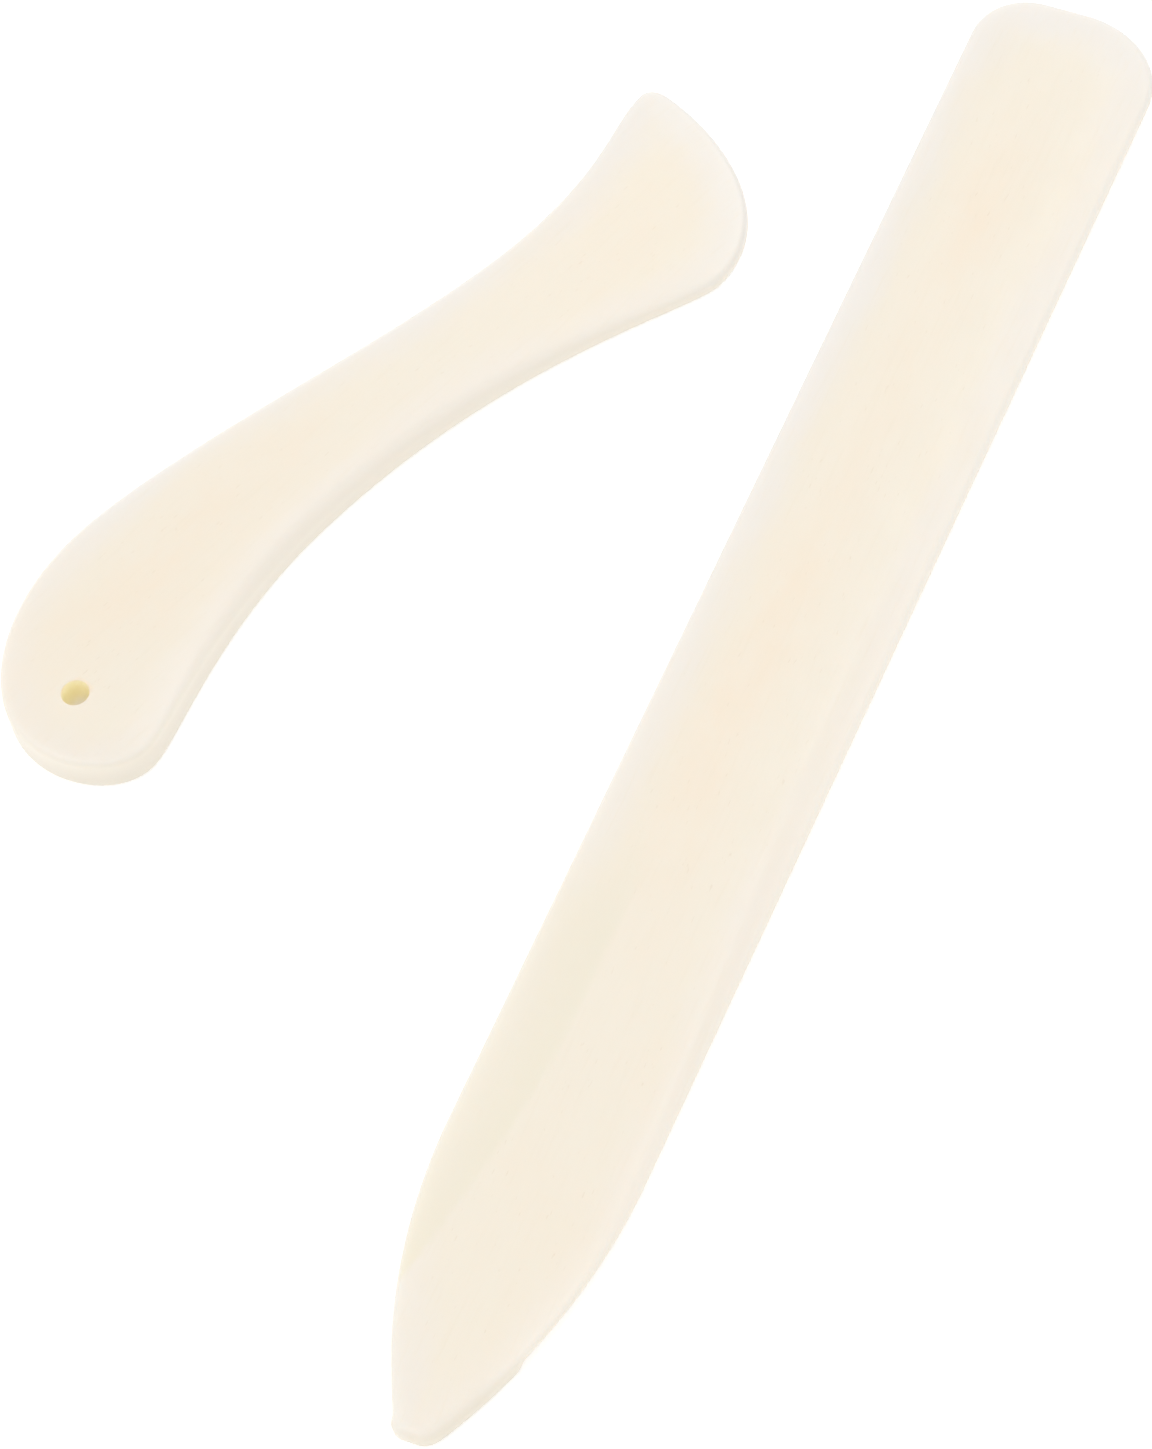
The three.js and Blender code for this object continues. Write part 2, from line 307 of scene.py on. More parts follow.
def straight_half_width(x, corner, nose_power=NOSE_POWER):
    flank = STRAIGHT_WIDTH / 2 - arc_drop(flank_radius(), np.maximum(FLANK_LENGTH - x, 0))
    into_corner = np.maximum(x - (STRAIGHT_LENGTH - corner["along"]), 0) / corner["along"]
    worn = corner["across"] * arc_drop(1, into_corner)
    from_nose = np.minimum(x / POINT_ROUNDING, 1)
    nose = (1 - (1 - from_nose) ** nose_power) ** (1 / nose_power)
    return (flank - worn) * nose


def straight_thickness(x):
    return lerp(POINT_THICKNESS, STRAIGHT_THICKNESS, smoothstep(x, 0, RIDGE_START))


def straight_rim(x):
    thinned = smoothstep(x, FULL_RIM_LENGTH, FULL_RIM_LENGTH + CROWN_SLOPE)
    return lerp(straight_thickness(x) - POINT_CROWN, RIM_HIGH, thinned)


def ridge_line(x):
    """The ridge's distance from the centre line: it swings out towards the point."""
    towards_point = np.maximum(RIDGE_DEEP - x, 0) / RIDGE_DEEP
    return RIDGE_OFFSET + RIDGE_SWING * towards_point**SWING_POWER


def facet_rise(x, y, d):
    """Share of the rise from the rim to the ridge: 1 inside the ridge, 0 on the rim."""
    beyond = np.maximum(y - ridge_line(x), 0)
    ground = 1 - smoothstep(x, RIDGE_DEEP, RIDGE_START)
    share = np.divide(d, d + beyond, out=np.ones_like(d), where=beyond > 0)
    return lerp(1, share**FACET_HOLLOW, ground)


def bevel_rise(x, y, d):
    """The crown's rise, with a straight bevel instead of its curve along the right edge."""
    narrow, wide, faded = BEVEL_SPAN
    width = lerp(BEVEL_NARROW, BEVEL_WIDTH, smoothstep(x, narrow, wide))
    on_bevel = BEVEL_SHARE * d / width
    inside = lerp(BEVEL_SHARE, 1, rise(np.maximum(d - width, 0) / CROWN_WIDTH))
    bevelled = np.where(d < width, on_bevel, inside)
    crowned = rise(d / CROWN_WIDTH)
    strength = (y < 0) * smoothstep(x, narrow / 2, narrow) * (1 - smoothstep(x, wide, faded))
    return lerp(crowned, bevelled, strength)


def straight_rounding(x):
    return lerp(POINT_ROUNDING_RADIUS, RIM_RADIUS, smoothstep(x, SOFT_RIM_LENGTH, FULL_RIM_LENGTH))


def straight_top(points, d):
    x, y = points.T
    share = np.minimum(bevel_rise(x, y, d), facet_rise(x, y, d))
    wave = unevenness(points) * smoothstep(d, 0, OUTER_ROWS[-1])
    crowned = lerp(straight_rim(x), straight_thickness(x), share)
    return crowned - rim_rounding(d, straight_rounding(x)) + wave


def straight_bottom(points, d):
    x = points[:, 0]
    thinned = smoothstep(x, NOTCH - NOTCH_LENGTH / 2, NOTCH + NOTCH_LENGTH / 2)
    undercut = thinned * RIM_LOW * (1 - rise(d / UNDERCUT_WIDTH))
    return undercut + rim_rounding(d)


def straight_sections():
    """Places of the sections along x: close together over the rounded ends."""
    ends = insets()
    middle_length = STRAIGHT_LENGTH - 2 * ends[-1]
    count = round(middle_length / SECTION_STEP)
    middle = np.linspace(ends[-1], STRAIGHT_LENGTH - ends[-1], count + 1)[1:-1]
    near = np.maximum(ends, FIRST_SECTION)
    notch = np.linspace(NOTCH - NOTCH_LENGTH / 2, NOTCH + NOTCH_LENGTH / 2, NOTCH_SECTIONS)
    return np.unique([*near, *notch, *middle, *(STRAIGHT_LENGTH - ends[::-1])])


def straight_mesh():
    x = straight_sections()
    knob = KNOB["rise"] * np.exp(-(((x - KNOB["at"]) / KNOB["half_length"]) ** 2))
    left = np.column_stack([x, straight_half_width(x, LEFT_CORNER, LEFT_NOSE_POWER) + knob])
    right = np.column_stack([x, -straight_half_width(x, RIGHT_CORNER)])
    rings = plate_rings(left, right, straight_top, straight_bottom)
    return loft("straight_bone", rings), left, right


# ---------- curved folder ----------


def curved_loop():
    """The outline as closely spaced points, with the length run up to each."""
    points = [np.array(HEEL, float)]
    for stretch in CURVED_OUTLINE:
        start = points[-1]
        end = np.array(stretch["to"], float)
        out = start + stretch["leave"]
        back = end - stretch["arrive"]
        for t in np.linspace(0, 1, STRETCH_STEPS + 1)[1:]:
            s = 1 - t
            points.append(s**3 * start + 3 * s * s * t * out + 3 * s * t * t * back + t**3 * end)
    points = np.array(points) * MM
    steps = np.hypot(*np.diff(points, axis=0).T)
    return points, np.concatenate([[0], np.cumsum(steps)])


def along_loop(points, run, shares):
    x = np.interp(shares * run[-1], run, points[:, 0])
    y = np.interp(shares * run[-1], run, points[:, 1])
    return np.column_stack([x, y])


def curved_rounding(x):
    swelling = lerp(HEEL_ROUNDING, BELLY_ROUNDING, smoothstep(x, GRIP["start"], GRIP["full"]))
    return lerp(swelling, BLADE_ROUNDING, smoothstep(x, GRIP["narrowing"], GRIP["end"]))


def curved_top(points, d):
    taper = smoothstep(points[:, 0], TAPER_START, TAPER_END)
    thickness = lerp(HEEL_THICKNESS, BLADE_THICKNESS, taper)
    crowned = thickness - CURVED_CROWN * (1 - rise(d / CURVED_CROWN_WIDTH))
    wave = unevenness(points) * smoothstep(d, 0, OUTER_ROWS[-1])
    return crowned - rim_rounding(d, curved_rounding(points[:, 0])) + wave


def curved_bottom(points, d):
    return rim_rounding(d)


def curved_mesh():
    points, run = curved_loop()
    count = round(run[-1] / 2 / SECTION_STEP)
    even = np.linspace(0, 1, count + 1)
    crowded = (1 - np.cos(np.pi * even)) / 2
    u = lerp(even, crowded, END_CROWDING)
    left = along_loop(points, run, lerp(END_GAP, BLADE_MIDDLE - END_GAP, u))
    right = along_loop(points, run, 1 - lerp(END_GAP, 1 - BLADE_MIDDLE - END_GAP, u))
    rings = plate_rings(left, right, curved_top, curved_bottom)
    return loft("curved_bone", rings), left, right


def hole_cutter():
    """A turned solid: the cord hole's bore, flaring out at both faces."""
    radius = CORD_HOLE_DIAMETER / 2
    deep_inside = np.array([1.0])  # a distance from the edge at which the top is level
    height = float(curved_top(np.zeros((1, 2)), deep_inside)[0])
    turns = np.linspace(0, FLARE_ANGLE, FLARE_STEPS + 1)
    flare_out = radius + HOLE_EASING * (1 - np.cos(turns))
    flare_up = HOLE_EASING * np.sin(turns)
    upper = np.column_stack([flare_out, height - HOLE_EASING + flare_up])
    lower = np.column_stack([flare_out, HOLE_EASING - flare_up])[::-1]
    beyond = HEEL_THICKNESS
    profile = [(lower[0][0], -beyond), *lower, *upper, (upper[-1][0], height + beyond)]
    angles = np.linspace(0, 2 * math.pi, HOLE_SIDES, endpoint=False)
    verts = [(r * math.cos(a), r * math.sin(a), z) for r, z in profile for a in angles]
    faces = []
    for k in range(len(profile) - 1):
        for i in range(HOLE_SIDES):
            a = k * HOLE_SIDES + i
            b = k * HOLE_SIDES + (i + 1) % HOLE_SIDES
            faces.append((a, b, b + HOLE_SIDES, a + HOLE_SIDES))
    faces.append(tuple(range(HOLE_SIDES - 1, -1, -1)))
    faces.append(tuple(range(len(verts) - HOLE_SIDES, len(verts))))
    mesh = bpy.data.meshes.new("hole_cutter")
    mesh.from_pydata(verts, [], faces)
    return bpy.data.objects.new("hole_cutter", mesh)


def cut_hole(mesh):
    blank = bpy.data.objects.new("blank", mesh)
    cutter = hole_cutter()
    for o in (blank, cutter):
        bpy.context.scene.collection.objects.link(o)
    cut = blank.modifiers.new("cord_hole", "BOOLEAN")
    cut.operation = "DIFFERENCE"
    cut.solver = "EXACT"
    cut.object = cutter
    evaluated = blank.evaluated_get(bpy.context.evaluated_depsgraph_get())
    result = bpy.data.meshes.new_from_object(evaluated)
    for o in (blank, cutter):
        bpy.data.objects.remove(o)
    return result


# ---------- attributes that the material reads ----------


def vertex_places(mesh):
    co = np.empty(len(mesh.vertices) * 3)
    mesh.vertices.foreach_get("co", co)
    return co.reshape(-1, 3)


def store(mesh, name, values):
    attribute = mesh.attributes.new(name, "FLOAT", "POINT")
    attribute.data.foreach_set("value", values.astype(np.float32))


def warmth(points, patches):
    total = np.zeros(len(points))
    for patch in patches:
        offset = (points - patch["at"]) / patch["reach"]
        total += patch["strength"] * np.exp(-(offset**2).sum(axis=1))
    return np.minimum(total, 1)


def store_looks(mesh, left, right, looks):
    """Stores the values that the material reads at each vertex. looks makes them from the
    points in plan, their distance from the outline, and a share that runs from 0 at the
    left edge to 1 at the right one. The painted shade at the walls' feet then fades out with height."""
    places = vertex_places(mesh)
    points = places[:, :2]
    from_left = edge_distance(points, left)
    from_right = edge_distance(points, right)
    side = from_left / (from_left + from_right)
    from_ends = [edge_distance(points, [left[k], right[k]]) for k in (0, -1)]
    d = np.minimum.reduce([from_left, from_right, *from_ends])
    values = looks(points, d, side)
    values["foot_shade"] *= np.exp(-np.maximum(places[:, 2], 0) / FOOT_SHADE_HEIGHT)
    for name in LOOKS:
        store(mesh, name, values[name])


def straight_looks(points, d, side):
    x = points[:, 0]
    along = smoothstep(x, *FLANK_SPAN)
    painted_rim_light = lerp(lerp(*LEFT_RIM_LIGHT, along), lerp(*RIGHT_RIM_LIGHT, along), smoothstep(side, *STRAIGHT_SIDES))
    square = 1 - smoothstep(x, FULL_RIM_LENGTH, FULL_RIM_LENGTH + NOTCH_LENGTH)
    radius = straight_rounding(x)
    steep = 1 - smoothstep(d, 0, STEEP_SHARE * radius)
    end = smoothstep(x, STRAIGHT_LENGTH - END_RIM_LIGHT_LENGTH, STRAIGHT_LENGTH)
    return {
        "edge": d,
        "reach": lerp(1, WIDE_END_RIM_LIGHT, end),
        "painted_rim_light": lerp(painted_rim_light, 1, end),
        "warmth": warmth(points, STRAIGHT_WARMTH),
        # Painted shade on the walls and at their feet.
        "wall_shade": steep * lerp(THIN_RIM_WALL_SHADE, 1, square),
        "foot_shade": steep,
        "flank": 1 - smoothstep(d, 0, UPRIGHT_SHARE * radius),
        "ground": facet_ground(points),
        "bore_light": np.zeros(len(points)),
    }


def curved_looks(points, d, side):
    x = points[:, 0]
    handle = smoothstep(x, *HEEL_SPAN)
    blade = smoothstep(x, *BLADE_SPAN)
    handle_rim_light = lerp(BACK_RIM_LIGHT, BELLY_RIM_LIGHT, smoothstep(side, *CURVED_SIDES))
    painted_rim_light = lerp(HEEL_RIM_LIGHT, handle_rim_light, handle)
    radius = curved_rounding(x)
    steep = 1 - smoothstep(d, 0, STEEP_SHARE * radius)
    # Painted shade on the walls, less of it along the handle and the blade.
    wall_shade = steep * lerp(1, HANDLE_WALL_SHADE, handle) * lerp(1, BLADE_WALL_SHADE, blade)
    return {
        "edge": d,
        "reach": lerp(1, WIDE_BLADE_RIM_LIGHT, blade),
        "painted_rim_light": lerp(painted_rim_light, 1, blade),
        "warmth": warmth(points, CURVED_WARMTH),
        "wall_shade": wall_shade,
        "foot_shade": wall_shade.copy(),
        "flank": 1 - smoothstep(d, 0, UPRIGHT_SHARE * radius),
        "ground": np.zeros(len(points)),
        "bore_light": cord_bore(points),
    }


def facet_ground(points):
    """1 just beyond the ridge, fading towards the left edge as the facet runs out: where the ground
    facet's own greyer tone and its painted shade go.
    """
    x, y = points.T
    beyond = y - ridge_line(x)
    fade = np.exp(-np.maximum(beyond, 0) / FACET_FADE)
    start = 1 - smoothstep(x, *FACET_LOOK)
    return smoothstep(beyond, -RIDGE_SOFTNESS, RIDGE_SOFTNESS) * fade * start


def cord_bore(points):
    """1 on the cord hole's wall, where light is painted, and 0 outside its eased rims."""
    radius = CORD_HOLE_DIAMETER / 2
    return 1 - smoothstep(np.hypot(*points.T), radius, radius + BORE_RIM * HOLE_EASING)


# ---------- materials ----------

BODY_COLOUR = (0.826, 0.770, 0.663, 1)
PALE_LIGHT_COLOUR = (0.805, 0.773, 0.728, 1)  # painted light at the paler thin rims
BLUSH_LIGHT_COLOUR = (0.830, 0.772, 0.695, 1)  # painted light, pinker, at the rims that get little of the pale one
WARM_COLOUR = (0.840, 0.750, 0.620, 1)
GRAIN_COLOUR = (0.785, 0.712, 0.580, 1)
PORE_COLOUR = (0.600, 0.480, 0.320, 1)
GROUND_COLOUR = (0.803, 0.754, 0.630, 1)  # the ground facet: partly its own greyer tone, partly painted shade where it turns from the light
EDGE_SHADE_COLOUR = (0.748, 0.724, 0.685, 1)  # painted shade on the outermost part of the paler rims
# painted shade on the walls under the rims
WALL_SHADE_COLOUR = (0.795, 0.738, 0.630, 1)
# painted shade at the walls' feet, next to the floor
FOOT_SHADE_COLOUR = (0.705, 0.655, 0.565, 1)
# painted light: the cord hole's wall made bright for the light that comes through the bone
BORE_LIGHT_COLOUR = (1.000, 0.765, 0.445, 1)

# Noise in the bone: its periods along and across the piece, and its detail.
PATTERNS = {
    "mottle": ((16 * MM, 7 * MM, 7 * MM), 3.0),
    "blotch": ((5 * MM, 2.5 * MM, 2.5 * MM), 4.0),
    "fibre": ((6 * MM, 0.35 * MM, 0.35 * MM), 3.0),
    "pore": ((1.1 * MM, 0.22 * MM, 0.22 * MM), 1.0),
}
NOISE_ROUGHNESS = 0.55

# Each pair of noise values is where a pattern begins to show, and where it is full.
MOTTLE_SPAN = (0.3, 0.7)
CLOUD_SPAN = (0.5, 0.75)
BLOTCH_SPAN = (0.25, 0.65)
FIBRE_SPAN = (0.5, 0.8)
PORE_SPAN = (0.71, 0.79)
SATIN_SPAN = (0.3, 0.7)

PALE_LIGHT_BAND = (0.2 * MM, 4.8 * MM)  # distances from the edge between which the painted pale rim light fades
BAND_WANDER = 0.9 * MM  # the band's distances vary by this much
EDGE_SHADE_BAND = (0.1 * MM, 0.6 * MM)  # and the painted shade on the outermost rim fades between these
EDGE_SHADE_STRENGTH = 0.7
WARM_LEAST = 0.45  # share of a warm patch that is left between its blotches
CLOUDINESS = 0.25
FIBRE_STRENGTH = 0.22
PORE_STRENGTH = 0.18
# share of the painted wall shade on the nearly upright part of every wall
UPRIGHT_SHADE_STRENGTH = 0.6

SATIN = (0.36, 0.46)  # roughness
RUBBED_WIDTH = 1.5 * MM  # the rim is smoother over this width,
RUBBED_GLOSS = 0.06  # and by this much
PORE_DEPTH = 1.5  # against the fibres' height of 1
BUMP_STRENGTH = 0.35
BUMP_HEIGHT = 0.02 * MM

SCATTER_RADIUS = (1.9 * MM, 1.7 * MM, 1.5 * MM)  # how far light goes in the bone
SCATTER_WEIGHT = 0.55
RIM_GLOW = 0.25  # share of that radius at the outermost rims, where shade is painted
BORE_GLOW = 8.0  # and many times the radius at the thin-walled bore
BONE_IOR = 1.5


def add_node(tree, kind, settings=None, inputs=None):
    """A new node. An input is given by name or index, as a value or as a socket to join."""
    node = tree.nodes.new(kind)
    for name, value in (settings or {}).items():
        setattr(node, name, value)
    for name, value in (inputs or {}).items():
        if isinstance(value, bpy.types.NodeSocket):
            tree.links.new(value, node.inputs[name])
        else:
            node.inputs[name].default_value = value
    return node


def attribute(tree, name):
    return add_node(tree, "ShaderNodeAttribute", {"attribute_name": name}).outputs["Fac"]


def mix_colour(tree, factor, a, b):
    inputs = {0: factor, 6: a, 7: b}
    return add_node(tree, "ShaderNodeMix", {"data_type": "RGBA"}, inputs).outputs[2]


def remap(tree, value, span, to_low=0.0, to_high=1.0):
    """Eases from to_low at the start of the span to to_high at its end."""
    inputs = {
        "Value": value,
        "From Min": span[0],
        "From Max": span[1],
        "To Min": to_low,
        "To Max": to_high,
    }
    settings = {"interpolation_type": "SMOOTHSTEP"}
    return add_node(tree, "ShaderNodeMapRange", settings, inputs).outputs["Result"]


def math_node(tree, operation, a, b):
    inputs = {0: a, 1: b}
    return add_node(tree, "ShaderNodeMath", {"operation": operation}, inputs).outputs[0]


def scaled(tree, *factors):
    """The product of two or more values."""
    product = factors[0]
    for factor in factors[1:]:
        product = math_node(tree, "MULTIPLY", product, factor)
    return product


def noise_field(tree, place, stretch, detail, turn=0.0, offset=0.0):
    """Noise with one period per stretch, in metres along and across axes that are turned
    about Z. The offset moves the pattern."""
    settings = {"vector_type": "TEXTURE"}
    inputs = {"Vector": place, "Location": (offset,) * 3, "Rotation": (0, 0, turn), "Scale": stretch}
    mapped = add_node(tree, "ShaderNodeMapping", settings, inputs).outputs["Vector"]
    inputs = {"Vector": mapped, "Scale": 1.0, "Detail": detail, "Roughness": NOISE_ROUGHNESS}
    return add_node(tree, "ShaderNodeTexNoise", inputs=inputs).outputs["Fac"]


def bone_values(tree, turn, offset):
    """What the bone's colour and surface are made from: the values stored at the vertices,
    the patterns, and three masks that both use."""
    values = {name: attribute(tree, name) for name in LOOKS}
    place = add_node(tree, "ShaderNodeTexCoord").outputs["Object"]
    for name, (stretch, detail) in PATTERNS.items():
        values[name] = noise_field(tree, place, stretch, detail, turn, offset)
    painted_rim_light = values["painted_rim_light"]
    # Rims painted less pale get a pinker painted light, and painted shade on their walls.
    values["unworn"] = math_node(tree, "SUBTRACT", 1.0, painted_rim_light)
    values["pits"] = remap(tree, values["pore"], PORE_SPAN, 0.0, PORE_STRENGTH)
    # The outermost rims get a painted grey shade, strongest where the rims are painted palest.
    edge_band = remap(tree, values["edge"], EDGE_SHADE_BAND, EDGE_SHADE_STRENGTH, 0.0)
    values["polish"] = scaled(tree, edge_band, painted_rim_light, painted_rim_light)
    return values


def bone_core(tree, v):
    """Painted pale light at the thin rims, round a warmer core, with faint fibres and pores."""
    wander = remap(tree, v["mottle"], MOTTLE_SPAN, -BAND_WANDER, BAND_WANDER)
    distance = math_node(tree, "DIVIDE", v["edge"], v["reach"])
    outside = remap(tree, math_node(tree, "ADD", distance, wander), PALE_LIGHT_BAND, 1.0, 0.0)
    inside = math_node(tree, "SUBTRACT", 1.0, outside)
    # The band along the rims is painted light shining through the thin bone, pinker on some rims and
    # paler on others.
    blushed = mix_colour(tree, scaled(tree, outside, v["unworn"]), BODY_COLOUR, BLUSH_LIGHT_COLOUR)
    body = mix_colour(tree, scaled(tree, outside, v["painted_rim_light"]), blushed, PALE_LIGHT_COLOUR)
    patchy = scaled(tree, v["warmth"], remap(tree, v["blotch"], BLOTCH_SPAN, WARM_LEAST, 1.0))
    cloudy = scaled(tree, remap(tree, v["mottle"], CLOUD_SPAN, 0.0, CLOUDINESS), inside)
    warm = math_node(tree, "MINIMUM", math_node(tree, "ADD", patchy, cloudy), 1.0)
    warmed = mix_colour(tree, warm, body, WARM_COLOUR)
    fibres = remap(tree, v["fibre"], FIBRE_SPAN, 0.0, FIBRE_STRENGTH)
    fibrous = mix_colour(tree, fibres, warmed, GRAIN_COLOUR)
    return mix_colour(tree, scaled(tree, v["pits"], inside), fibrous, PORE_COLOUR)


def bone_colour(tree, v):
    """The core's colour, changed on the facet by its tone and painted shade, with painted shade on the
    outermost rims, the walls and their feet, and painted light in the bore.
    """
    # The ground facet: partly its own greyer tone, partly painted shade.
    faceted = mix_colour(tree, v["ground"], bone_core(tree, v), GROUND_COLOUR)
    # Painted grey shade along the outermost rims.
    polished = mix_colour(tree, v["polish"], faceted, EDGE_SHADE_COLOUR)
    flank = scaled(tree, v["flank"], UPRIGHT_SHADE_STRENGTH)
    # Painted shade on the walls: under the rims painted less pale, and on the nearly upright part of
    # every wall.
    wall_shade_mask = math_node(tree, "MAXIMUM", scaled(tree, v["wall_shade"], v["unworn"]), flank)
    wall_shaded = mix_colour(tree, wall_shade_mask, polished, WALL_SHADE_COLOUR)
    # Painted shade, darker towards the walls' feet next to the floor.
    foot_shaded = mix_colour(tree, scaled(tree, v["foot_shade"], v["unworn"]), wall_shaded, FOOT_SHADE_COLOUR)
    # Painted light on the cord hole's wall, for the light that comes through the bone.
    return mix_colour(tree, v["bore_light"], foot_shaded, BORE_LIGHT_COLOUR)


def bone_roughness(tree, v):
    satin = remap(tree, v["blotch"], SATIN_SPAN, *SATIN)
    edge_band = remap(tree, v["edge"], (0.0, RUBBED_WIDTH), -RUBBED_GLOSS, 0.0)
    return math_node(tree, "ADD", satin, edge_band)


def bone_relief(tree, v):
    relief = math_node(tree, "ADD", v["fibre"], scaled(tree, v["pits"], -PORE_DEPTH))
    inputs = {"Height": relief, "Strength": BUMP_STRENGTH, "Distance": BUMP_HEIGHT}
    return add_node(tree, "ShaderNodeBump", inputs=inputs).outputs["Normal"]


def bone_glow(tree, v):
    """Light comes through the bone to the bore's wall, and hardly through the outermost rims, where shade
    is painted.
    """
    rim = remap(tree, v["polish"], (0.0, EDGE_SHADE_STRENGTH), 1.0, RIM_GLOW)
    return math_node(tree, "ADD", rim, scaled(tree, v["bore_light"], BORE_GLOW))


def bone_material(name, turn, offset):
    """Polished bone, whose fibres and pores run along the piece's turned axis."""
    material = bpy.data.materials.new(name)
    material.use_nodes = True
    tree = material.node_tree
    shader = tree.nodes["Principled BSDF"]
    v = bone_values(tree, turn, offset)
    scatter = remap(tree, v["bore_light"], (0.0, 1.0), SCATTER_WEIGHT, 1.0)
    tree.links.new(bone_colour(tree, v), shader.inputs["Base Color"])
    tree.links.new(bone_roughness(tree, v), shader.inputs["Roughness"])
    tree.links.new(bone_relief(tree, v), shader.inputs["Normal"])
    tree.links.new(bone_glow(tree, v), shader.inputs["Subsurface Scale"])
    tree.links.new(scatter, shader.inputs["Subsurface Weight"])
    shader.inputs["Subsurface Radius"].default_value = SCATTER_RADIUS
    shader.inputs["IOR"].default_value = BONE_IOR
    return material


def floor_material():
    """A nearly white sheet that glows a little, so that it stays white under the tools."""
    material = bpy.data.materials.new("studio_floor")
    material.use_nodes = True
    tree = material.node_tree
    shader = tree.nodes["Principled BSDF"]
    place = add_node(tree, "ShaderNodeTexCoord").outputs["Object"]
    cloud = noise_field(tree, place, (FLOOR_CLOUD,) * 3, 2.0)
    colour = mix_colour(tree, cloud, *FLOOR_COLOURS)
    tree.links.new(colour, shader.inputs["Base Color"])
    shader.inputs["Roughness"].default_value = FLOOR_ROUGHNESS
    shader.inputs["Emission Color"].default_value = (1, 1, 1, 1)
    shader.inputs["Emission Strength"].default_value = FLOOR_GLOW
    return material


# ---------- pieces ----------

SHARP_ANGLE = math.radians(50)
CURVED_PATTERN_OFFSET = 0.31  # so that the two pieces aren't patterned alike


def node_middle(node):
    low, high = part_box(node)
    return (low + high) / 2


def add_piece(name, mesh, material, place, body, node):
    """Sets a finished piece in its place, on its body and instead of its CAD node."""
    mesh.materials.clear()
    mesh.materials.append(material)
    mesh.shade_smooth()
    mesh.set_sharp_from_angle(angle=SHARP_ANGLE)
    piece = bpy.data.objects.new(name, mesh)
    piece.location = place
    bpy.context.scene.collection.objects.link(piece)
    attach(piece, body)
    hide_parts(node)
    return piece


def straight_place():
    """The point's end of the CAD box is the first section, and y is centred in it."""
    low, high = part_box("straight_folder")
    return Vector((low.x - FIRST_SECTION, (low.y + high.y) / 2, 0))


def curved_place(mesh):
    """The turned mesh's box is centred on the CAD node's box."""
    corners = [v.co for v in mesh.vertices]
    low = Vector(map(min, zip(*corners)))
    high = Vector(map(max, zip(*corners)))
    shift = node_middle("curved_folder") - (low + high) / 2
    return Vector((shift.x, shift.y, 0))


def add_straight():
    mesh, left, right = straight_mesh()
    store_looks(mesh, left, right, straight_looks)
    material = bone_material("straight_bone", turn=0.0, offset=0.0)
    return add_piece(
        "straight_bone_folder",
        mesh,
        material,
        straight_place(),
        body="straight",
        node="straight_folder",
    )


def add_curved():
    blank, left, right = curved_mesh()
    mesh = cut_hole(blank)
    store_looks(mesh, left, right, curved_looks)
    mesh.transform(Matrix.Rotation(CURVED_TURN, 4, "Z"))
    material = bone_material("curved_bone", turn=CURVED_TURN, offset=CURVED_PATTERN_OFFSET)
    return add_piece(
        "curved_bone_folder",
        mesh,
        material,
        curved_place(mesh),
        body="curved",
        node="curved_folder",
    )


# ---------- studio ----------

FLOOR_SIDE = 8.0
FLOOR_GAP = 0.02 * MM
FLOOR_COLOURS = [(0.88, 0.88, 0.88, 1), (0.90, 0.90, 0.90, 1)]
FLOOR_CLOUD = 0.4  # size of the clouds of those two
FLOOR_ROUGHNESS = 0.9
FLOOR_GLOW = 0.3
SKY_STRENGTH = 0.895

CAMERA_HEADING = math.radians(53.65)  # from +Y towards +X
CAMERA_ELEVATION = math.radians(58)
CAMERA_ROLL = math.radians(15)
CAMERA_DISTANCE = 678.6 * MM
CAMERA_LENS = 183.5
LOOK_OFFSET = (-8.13 * MM, -14.17 * MM)  # from the middle of the pair to the picture's middle

LIGHT_UP = Vector((0, 1, 0.01))  # direction of the square lights' upper side


def add_floor():
    h = FLOOR_SIDE / 2
    mesh = bpy.data.meshes.new("studio_floor")
    mesh.from_pydata([(-h, -h, 0), (h, -h, 0), (h, h, 0), (-h, h, 0)], [], [(0, 1, 2, 3)])
    mesh.materials.append(floor_material())
    floor = bpy.data.objects.new("studio_floor", mesh)
    floor.location.z = -FLOOR_GAP
    bpy.context.scene.collection.objects.link(floor)


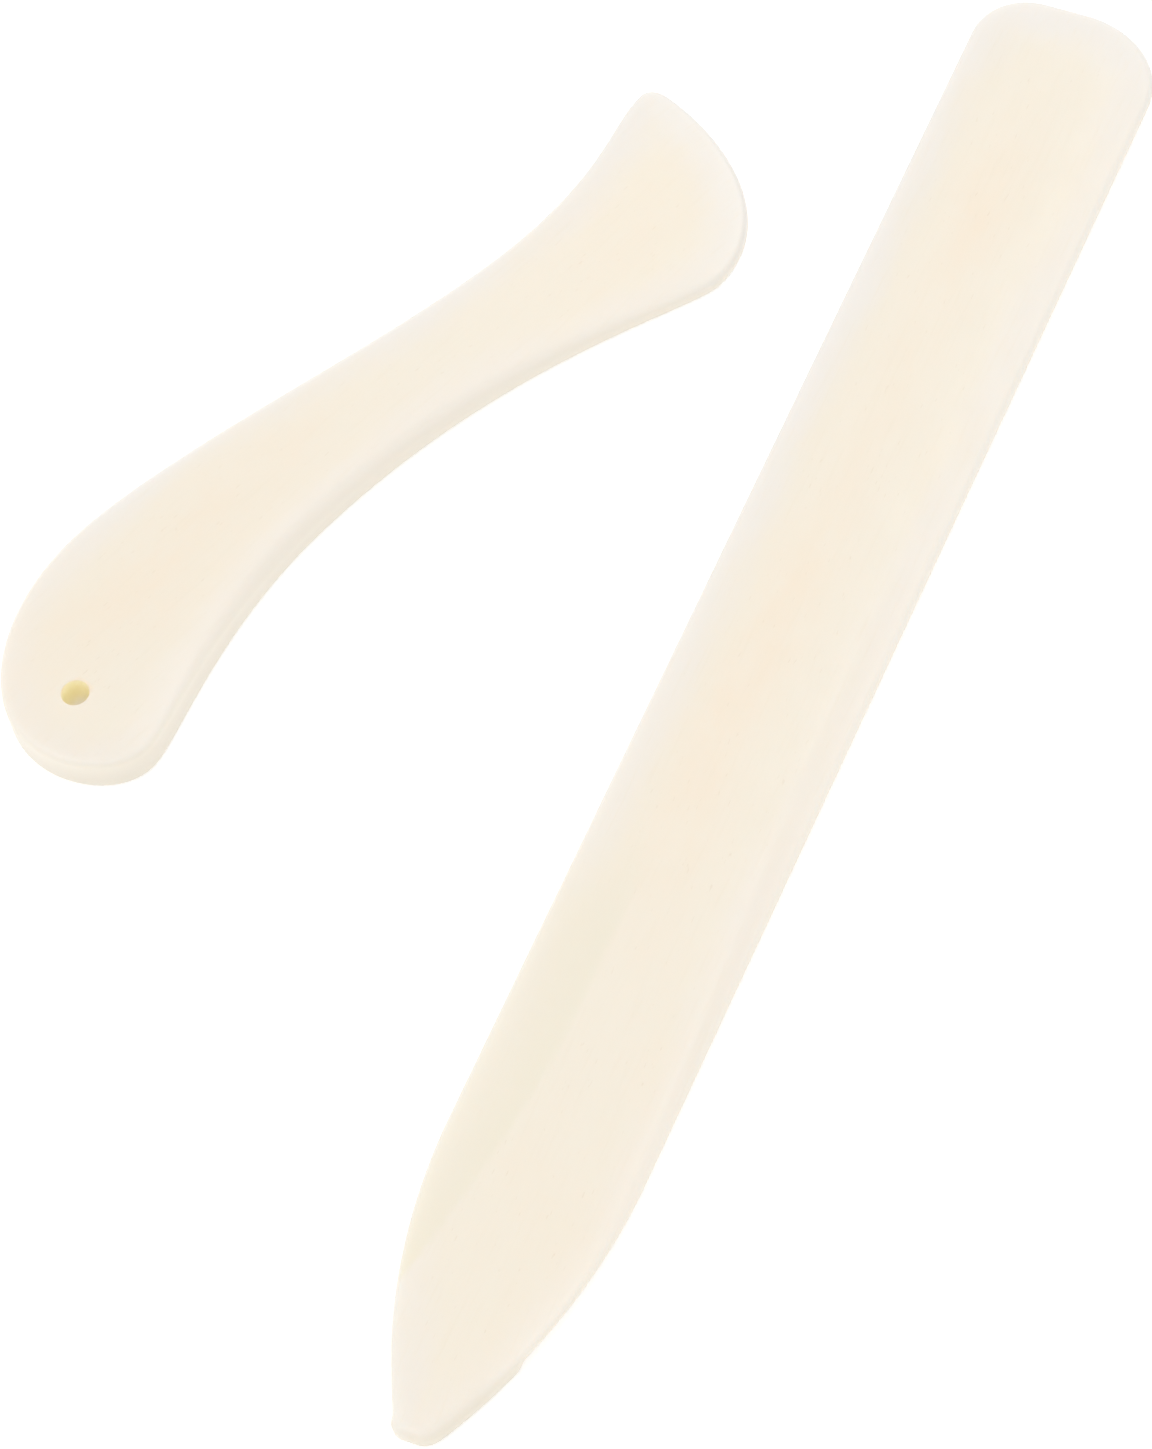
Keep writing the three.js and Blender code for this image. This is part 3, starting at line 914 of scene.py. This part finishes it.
def heading_axes():
    """Level unit vectors ahead of the camera and to its right."""
    ahead = Vector((math.sin(CAMERA_HEADING), math.cos(CAMERA_HEADING), 0))
    right = Vector((ahead.y, -ahead.x, 0))
    return ahead, right


def aim(forward, up):
    """A rotation whose -Z looks forward, with +Y towards up."""
    z = -forward.normalized()
    x = up.cross(z).normalized()
    y = z.cross(x)
    return Matrix((x, y, z)).transposed().to_4x4()


def add_camera():
    ahead, right = heading_axes()
    tilt = CAMERA_ELEVATION
    forward = ahead * math.cos(tilt) - Vector((0, 0, math.sin(tilt)))
    level_up = ahead * math.sin(tilt) + Vector((0, 0, math.cos(tilt)))
    up = right * math.sin(CAMERA_ROLL) + level_up * math.cos(CAMERA_ROLL)
    middle = (cad_low + cad_high) / 2
    target = Vector((middle.x + LOOK_OFFSET[0], middle.y + LOOK_OFFSET[1], 0))
    camera = bpy.data.cameras.new("camera")
    camera.lens = CAMERA_LENS
    camera.sensor_width = 36
    camera.clip_start = 0.01
    camera.clip_end = 50
    holder = bpy.data.objects.new("camera", camera)
    place = Matrix.Translation(target - forward * CAMERA_DISTANCE)
    holder.matrix_world = place @ aim(forward, up)
    bpy.context.scene.collection.objects.link(holder)
    bpy.context.scene.camera = holder


def add_light(name, ahead_by, right_by, height, size, power):
    """A square soft light, aimed at the pair's middle."""
    ahead, right = heading_axes()
    light = bpy.data.lights.new(name, "AREA")
    light.size = size
    light.energy = power
    holder = bpy.data.objects.new(name, light)
    where = ahead * ahead_by + right * right_by + Vector((0, 0, height))
    holder.matrix_world = Matrix.Translation(where) @ aim(-where, LIGHT_UP)
    bpy.context.scene.collection.objects.link(holder)


def add_studio():
    scene = bpy.context.scene
    scene.view_settings.view_transform = "Standard"
    world = bpy.data.worlds.new("studio")
    world.use_nodes = True
    background = world.node_tree.nodes["Background"]
    background.inputs["Color"].default_value = (1, 1, 1, 1)
    background.inputs["Strength"].default_value = SKY_STRENGTH
    scene.world = world
    add_light("key", ahead_by=1.0, right_by=0.7, height=1.7, size=1.1, power=8)
    add_light("fill", ahead_by=-0.3, right_by=-1.2, height=1.3, size=1.0, power=3.6)
    add_floor()
    add_camera()


add_straight()
add_curved()
add_studio()
